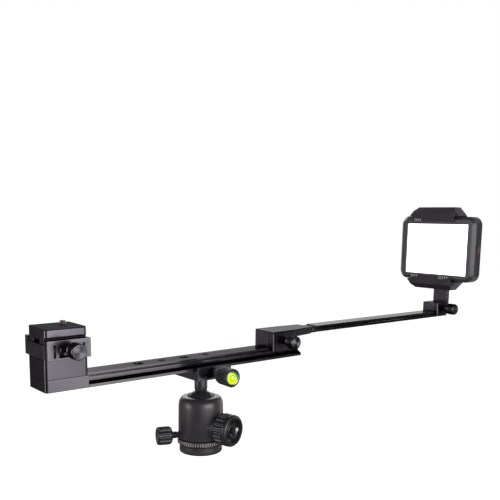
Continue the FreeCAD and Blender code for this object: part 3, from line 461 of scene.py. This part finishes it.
# ---------------------------------------------------------------- ball head
def make_main_knob():
    """Rubber grip with broad ribs, a smooth collar, and a dished face with an off-centre screw."""
    standoff = 30.0 * MM
    origin, direction = joint_line("main_lock")
    start = origin + direction * standoff
    outer = [(16.6, 0.5), (17.4, 1.0), (18.1, 2.0)]
    outer += [(18.6, z) for z in stacked(3.0, 13.4, 14)]
    outer += [(18.3, 13.9), (17.8, 14.1), (17.8, 14.4), (18.5, 14.8), (18.6, 15.6), (18.35, 17.4),
              (17.5, 18.7), (16.4, 19.3), (15.7, 19.35)]
    grip = turned("main_grip_finished", outer + [(15.62, 0.5)], start, direction, 240,
                  ribs(20, 1.5, 1.6, 13.2), closed=True)
    dress(smooth(grip), "main_knob_grip")
    face = [(3.1, 0.2), (15.5, 0.2), (15.5, 19.3), (15.2, 19.85), (14.7, 20.0), (14.1, 19.8),
            (13.8, 19.0), (13.4, 14.9), (12.9, 14.3), (3.1, 14.2)]
    hub = turned("main_hub_disc", face, start, direction, 120, closed=True)
    screw_at, _ = joint_line("friction_set")
    towards_screw = (screw_at - origin).normalized()
    boss_at = start + towards_screw * 3.2 * MM
    island = [(0, 14.0), (9.4, 14.0), (9.2, 15.2), (8.7, 15.8), (7.9, 16.0), (7.4, 15.7),
              (7.0, 15.1), (4.2, 15.0), (3.4, 15.4), (3.2, 16.4), (0, 16.5)]
    boss = turned("main_hub_boss", island, boss_at, direction, 96)
    whole = joined("main_hub_finished", [smooth(hub), smooth(boss)])
    dress(whole, "main_knob_hub", BLACK["gloss"])
    screw = [(0, 14.0), (2.0, 14.0), (2.0, 16.6), (2.5, 16.8), (2.5, 17.7), (2.2, 18.1),
             (1.2, 18.2), (1.0, 17.2), (0, 17.2)]
    head = turned("friction_head", screw, screw_at + direction * standoff, direction, 48)
    dress(smooth(head), "friction_screw", METAL["satin_steel"])


def make_pan_knob():
    """Black ribbed knob with a flat face, on a thin neck."""
    standoff = 29.0 * MM
    origin, direction = joint_line("pan_lock")
    start = origin + direction * standoff
    profile = [(2.05, 0.0), (4.0, 0.0), (4.1, 4.6), (4.8, 5.4), (7.4, 5.9), (8.8, 6.4),
               (10.0, 7.6), (10.7, 9.0)]
    profile += [(11.0, z) for z in stacked(10.0, 20.0, 10)]
    profile += [(10.9, 21.4), (10.3, 22.8), (9.2, 23.7), (7.9, 24.0), (6.4, 24.0), (5.9, 23.6),
                (0, 23.5)]
    knob = turned("pan_knob_finished", profile, start, direction, 180,
                  ribs(12, 1.3, 7.0, 22.6, 2.0, 2.2))
    dress(smooth(knob), "pan_knob")


def make_head_clamp_knob():
    """Finely ribbed knob, a little wider towards its face, which holds the bubble level."""
    length = 24.0
    near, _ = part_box("head_clamp_knob")
    origin, direction = joint_line("head_knob_turn")
    start = Vector((origin.x, near.y + length * MM, origin.z))
    profile = [(3.05, -8.0), (5.4, -8.0), (5.4, 0.2), (6.4, 0.8), (8.6, 1.4), (9.3, 2.4),
               (10.0, 4.6)]
    profile += [(10.2 + 0.3 * (z - 5.0) / 15.0, z) for z in stacked(5.2, 20.6, 12)]
    profile += [(10.5, 21.2), (10.5, 23.0), (10.0, 23.7), (9.2, length), (8.5, length), (8.1, 23.6),
                (8.1, 20.8), (0, 20.8)]
    knob = turned("head_clamp_knob_finished", profile, start, direction, 240,
                  ribs(24, 0.9, 2.0, 20.8, 1.4, 2.0))
    dress(smooth(knob), "head_clamp_knob")
    band = [(7.0, 22.0), (8.05, 22.0), (8.05, 23.6), (7.8, 23.9), (7.2, 23.75), (7.0, 23.5)]
    rim = turned("level_rim", band, start, direction, 96, closed=True)
    dress(smooth(rim), "head_clamp_knob", METAL["steel"], replace=False)
    dome = [(0, 20.9), (6.95, 20.9), (6.95, 22.8), (6.7, 23.0), (5.5, 23.35), (3.0, 23.55),
            (0, 23.6)]
    dress(smooth(turned("level_finished", dome, start, direction, 96)), "bubble_level")
    circle = [(2.7, 23.58), (3.0, 23.62), (3.3, 23.56), (3.0, 23.4)]
    mark = turned("level_mark", circle, start, direction, 64, closed=True)
    dress(smooth(mark), "bubble_level", BLACK["rubber"], replace=False)
    bubble_at = start + Vector((0.4, 0, 0.5)) * MM
    drop = [(0, 23.3), (1.9, 23.45), (2.0, 23.6), (1.4, 23.85), (0.6, 23.95), (0, 23.97)]
    bubble = turned("level_bubble", drop, bubble_at, direction, 48)
    dress(smooth(bubble), "bubble_level", BUBBLE, replace=False)
    arc = crescent("level_shade", start + direction * 23.25 * MM, direction, 6.85, 4.9, -30, 110)
    dress(arc, "bubble_level", SHADE, replace=False)


def crescent(name, at, direction, outer, inner, first, last):
    """A thin raised arc between two radii and two angles, tapered at its ends."""
    bm = bmesh.new()
    turn = direction.to_track_quat("Z", "Y").to_matrix()
    steps = 24
    rows = []
    for i in range(steps + 1):
        share = i / steps
        angle = math.radians(first + (last - first) * share)
        near = outer - (outer - inner) * math.sin(math.pi * share)
        row = []
        for radius, height in ((outer, 0.0), (outer, 0.14), (near - 0.05, 0.3), (near - 0.05, 0.0)):
            flat = Vector((radius * math.cos(angle), radius * math.sin(angle), height)) * MM
            row.append(bm.verts.new(at + turn @ flat))
        rows.append(row)
    for low, high in zip(rows, rows[1:]):
        for i in range(4):
            j = (i + 1) % 4
            bm.faces.new((low[i], low[j], high[j], high[i]))
    bm.faces.new(rows[0])
    bm.faces.new(list(reversed(rows[-1])))
    return from_bmesh(name, bm)


def make_pan_ring():
    """The degree ring: a thin lip below, and a chamfered band with light marks."""
    low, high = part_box("pan_ring")
    base = Vector((0, 0, low.z))
    tall = (high.z - low.z) / MM
    edge = high.x / MM
    hole = 12.0
    profile = [(hole, 0.0), (24.4, 0.0), (24.4, 1.2), (edge - 0.8, 1.5), (edge - 0.1, 1.8),
               (edge, 2.2), (edge, 2.5), (edge - 0.3, 2.7)]
    profile += [(edge - 0.3, z) for z in stacked(2.9, tall - 1.3, 4)]
    profile += [(edge - 0.6, tall - 0.7), (edge - 1.2, tall - 0.2), (edge - 1.4, tall),
                (hole, tall)]
    ring = turned("pan_ring_finished", profile, base, UP, 288, closed=True)
    dress(smooth(ring), "pan_ring")
    bm = bmesh.new()
    count = 60
    for i in range(count):
        angle = TURN * i / count
        half_width = 0.45 if i % 5 == 0 else 0.36
        side = Vector((-math.sin(angle), math.cos(angle), 0))
        out = Vector((math.cos(angle), math.sin(angle), 0))
        corners = []
        for z in (2.8, tall - 0.9):
            for s in (-1, 1):
                for depth in (-0.03, -0.6):
                    flat = out * (edge + depth) + side * (s * half_width)
                    corners.append(bm.verts.new(base + Vector((flat.x, flat.y, z)) * MM))
        a, b, c, d, e, f, g, k = corners
        for quad in ((a, c, g, e), (b, f, k, d), (a, e, f, b), (c, d, k, g), (a, b, d, c),
                     (e, g, k, f)):
            bm.faces.new(quad)
    dress(from_bmesh("degree_marks", bm), "pan_ring", MARK_PAINT, replace=False)


def make_housing():
    """The head's casting with rounded shoulders and its two bosses."""
    low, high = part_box("head_housing")
    profile = [(8.05, 17.2), (25.6, 17.2), (26.2, 17.5), (26.5, 18.2), (26.5, 52.0), (26.45, 56.0),
               (26.1, 59.2), (25.3, 61.9), (24.1, 64.0), (22.4, 65.6), (20.4, 66.35), (19.0, 66.5),
               (16.6, 66.5), (15.9, 66.3), (15.6, 65.7), (15.6, 64.6), (19.0, 59.5),
               (19.0, 30.0), (8.05, 30.0)]
    shell = turned("housing_shell", profile, ORIGIN, UP, 160, closed=True)
    main_boss = [(0, 21.0), (15.4, 21.0), (14.6, 23.0), (13.9, 25.0), (13.4, 27.0),
                 (13.2, 28.4), (12.6, 29.3), (11.6, 29.6), (0, 29.6)]
    boss = turned("housing_boss", main_boss, *joint_line("main_lock"), 96)
    pan_boss = [(0, 22.0), (6.2, 22.0), (5.0, 24.4), (4.2, 26.6), (3.9, 27.6), (3.4, 28.0),
                (0, 28.0)]
    collar = turned("housing_collar", pan_boss, *joint_line("pan_lock"), 64)
    casting = joined("housing_finished", [smooth(shell), smooth(boss), smooth(collar)])
    dress(casting, "head_housing")


def make_head():
    """The ball head from its foot to its clamp's knob."""
    make_housing()
    make_pan_ring()
    base = [(0, 12.0), (4.76, 12.0), (4.76, 0.0), (23.6, 0.0), (24.9, 0.4), (25.3, 1.4),
            (25.3, 6.0), (24.9, 6.5), (24.9, 7.0), (25.3, 7.4), (25.3, 9.2), (8.0, 9.2),
            (8.0, 28.0), (0, 28.0)]
    foot = turned("head_base_finished", base, ORIGIN, UP, 128)
    dress(smooth(foot, 0.2), "head_base")
    column = [(0, 64.0), (3.0, 64.0), (3.0, 72.5), (7.1, 72.5), (7.15, 74.2), (7.6, 74.9),
              (7.75, 75.6), (7.75, 90.6), (7.5, 90.98), (3.0, 90.98), (3.0, 96.0), (0, 96.0)]
    dress(smooth(turned("stem_finished", column, ORIGIN, UP, 96)), "ball_stem")
    refined("head_ball", 0.3)
    make_main_knob()
    make_pan_knob()
    make_head_clamp_knob()
    for node in ("main_knob_screw", "pan_knob_screw", "head_clamp_screw"):
        refined(node, 0.2)


# ---------------------------------------------------------------- light and its holder
LOWER_LIP, UPPER_LIP = 190.5 * MM, 271.0 * MM


def lip_ribs(name, node, lip, sign, groups):
    """Raised bars that start at a lip's free edge, in groups given as a start in mm and a count, coloured pale as
    a painted highlight.
    """
    pitch, half_width = 3.5, 0.5 * MM
    low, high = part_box(node)
    middle = (low.y + high.y) / 2
    bars = []
    for start, count in groups:
        for i in range(count):
            y = middle + (start - pitch * i) * MM
            near = lip + sign * 0.6 * MM
            far = lip + sign * (5.6 - 0.5 * i) * MM
            bottom, top = min(near, far), max(near, far)
            bars.append(block(name, (low.x - 0.4 * MM, y - half_width, bottom),
                              (low.x + 0.5 * MM, y + half_width, top)))
    dress(joined(name, bars), node, PAINTED_RIB_HIGHLIGHT, replace=False)


def make_light():
    """The panel light, its spring clips and the ribs on their lips."""
    refined("light_shell", 1.0, segments=3)
    refined("light_bezel", 0.5, BLACK["bezel"], segments=3)
    refined("light_button", 0.3)
    refined("light_diffuser", 0.2)
    refined("spine_cover", 0.8, segments=3)
    refined("lower_clip", 0.6, segments=3)
    refined("upper_clip", 0.6, segments=3)
    lip_ribs("upper_clip_ribs", "upper_clip", UPPER_LIP, 1, [(32, 4)])
    lip_ribs("lower_clip_ribs", "lower_clip", LOWER_LIP, -1, [(34, 4), (-18, 5)])


# ---------------------------------------------------------------- stage
FLOOR = -0.32
TABLE = -0.31
FAN = -0.305
CEILING = 1.7
WALL = (-0.3, 2.2)


def add_camera():
    """The studio camera, level with a slight roll, looking along the rail from its riser end."""
    yaw, pitch, roll = math.radians(39.62), math.radians(9.28), math.radians(0.79)
    forward = Vector((math.sin(yaw) * math.cos(pitch), math.cos(yaw) * math.cos(pitch),
                      -math.sin(pitch)))
    right = forward.cross(UP).normalized()
    level_up = right.cross(forward)
    side = right * math.cos(roll) + level_up * math.sin(roll)
    top = level_up * math.cos(roll) - right * math.sin(roll)
    data = bpy.data.cameras.new("camera")
    data.lens = 51.04
    data.shift_y = 1 / 6
    data.clip_start = 0.01
    cam = bpy.data.objects.new("camera", data)
    cam.matrix_world = Matrix((side, top, -forward)).transposed().to_4x4()
    cam.location = (-0.4732, -0.6605, 0.27365)
    bpy.context.scene.collection.objects.link(cam)
    bpy.context.scene.camera = cam


def softbox(name, place, aim, size, power):
    """A rectangular lamp facing an aim, with its size in metres and its power in watts."""
    data = bpy.data.lights.new(name, "AREA")
    data.shape = "RECTANGLE"
    data.size, data.size_y = size
    data.energy = power
    lamp = bpy.data.objects.new(name, data)
    lamp.location = place
    lamp.rotation_euler = (Vector(aim) - Vector(place)).to_track_quat("-Z", "Y").to_euler()
    bpy.context.scene.collection.objects.link(lamp)


def reflected_only(obj, colour, glow=0.0):
    """A flat finish on a card that is seen only in reflections."""
    mat, _, _, shader = blank(obj.name)
    shader.inputs["Base Color"].default_value = (*colour, 1)
    shader.inputs["Emission Color"].default_value = (*colour, 1)
    shader.inputs["Emission Strength"].default_value = glow
    shader.inputs["Roughness"].default_value = 1.0
    shader.inputs["Specular IOR Level"].default_value = 0.0
    obj.data.materials.append(mat)
    obj.visible_camera = False
    obj.visible_diffuse = False
    obj.visible_shadow = False
    obj.visible_transmission = False


def plane(name, corners):
    """One flat face through its corners."""
    mesh = bpy.data.meshes.new(name)
    mesh.from_pydata(corners, [], [tuple(range(len(corners)))])
    return add(name, mesh)


def square(half, z):
    """The corners of a level square about the origin."""
    return [(-half, -half, z), (half, -half, z), (half, half, z), (-half, half, z)]


def curved_wall(name, bearings, heights, colour, glow=0.0, radius=2.6):
    """A curved strip around the object, between two bearings in degrees and two heights."""
    first, last = bearings
    low, high = heights
    steps = 16
    points, quads = [], []
    for i in range(steps + 1):
        bearing = math.radians(first + (last - first) * i / steps)
        x, y = radius * math.cos(bearing), radius * math.sin(bearing)
        points += [(x, y, low), (x, y, high)]
    for i in range(steps):
        quads.append((2 * i, 2 * i + 2, 2 * i + 3, 2 * i + 1))
    mesh = bpy.data.meshes.new(name)
    mesh.from_pydata(points, [], quads)
    reflected_only(add(name, mesh), colour, glow)


def floor_sector(name, bearings, colour, radius=2.6):
    """A flat fan just above the floor between two bearings in degrees."""
    first, last = bearings
    steps = 12
    rim = [math.radians(first + (last - first) * i / steps) for i in range(steps + 1)]
    corners = [(radius * math.cos(bearing), radius * math.sin(bearing), FAN) for bearing in rim]
    reflected_only(plane(name, [(0, 0, FAN)] + corners), colour)


def add_floor():
    """Pale paper that glows a little, so that it stays white around the object."""
    floor = plane("floor", square(6.0, FLOOR))
    mat, nodes, links, shader = blank("floor_paper")
    point = object_point(nodes, links, (1, 1, 1))
    cloud = noise(nodes, links, point, 3.0)
    tone = blended(nodes, links, cloud, (0.96, 0.96, 0.96), (0.98, 0.98, 0.98))
    links.new(tone, shader.inputs["Base Color"])
    shader.inputs["Emission Color"].default_value = (1, 1, 1, 1)
    shader.inputs["Emission Strength"].default_value = 0.08
    shader.inputs["Roughness"].default_value = 0.9
    shader.inputs["Specular IOR Level"].default_value = 0.0
    floor.data.materials.append(mat)


def add_stage():
    """White room and floor, with dark walls, ceiling and table that only reflections see."""
    world = bpy.data.worlds.new("studio")
    world.use_nodes = True
    world.node_tree.nodes["Background"].inputs["Color"].default_value = (1, 1, 1, 1)
    world.node_tree.nodes["Background"].inputs["Strength"].default_value = 1.0
    bpy.context.scene.world = world
    bpy.context.scene.view_settings.view_transform = "Standard"
    add_floor()
    dark = (0.005, 0.005, 0.005)
    dim = (0.19, 0.18, 0.19)
    reflected_only(plane("dark_ceiling", square(2.5, CEILING)), dark)
    reflected_only(plane("dark_table", square(1.2, TABLE)), dark)
    floor_sector("left_floor", (85, 165), dim)
    floor_sector("side_floor", (186, 237), dark)
    curved_wall("left_wall", (85, 152), WALL, dim)
    curved_wall("side_wall", (186, 237), WALL, dark)
    curved_wall("right_wall", (304, 342), WALL, dark, radius=1.7)
    curved_wall("left_strip", (156, 180), (-0.2, 1.2), (1.0, 0.97, 0.97), glow=3.2, radius=2.5)
    softbox("key", (0.15, -1.9, 0.45), (0.0, 0, 0.1), (1.3, 1.0), 20)
    softbox("rim", (0.9, 1.3, 0.9), (0.1, 0, 0.1), (1.2, 0.8), 6)


add_camera()
add_stage()
make_metalwork()
make_camera_screw()
make_window_painted_shade()
make_thumb_knobs()
make_head()
make_light()
for node_name, node_object in NODES.items():
    node_object.data.materials.clear()
    node_object.data.materials.append(MATERIAL_OF_SLOT[SLOT_OF[node_name]])
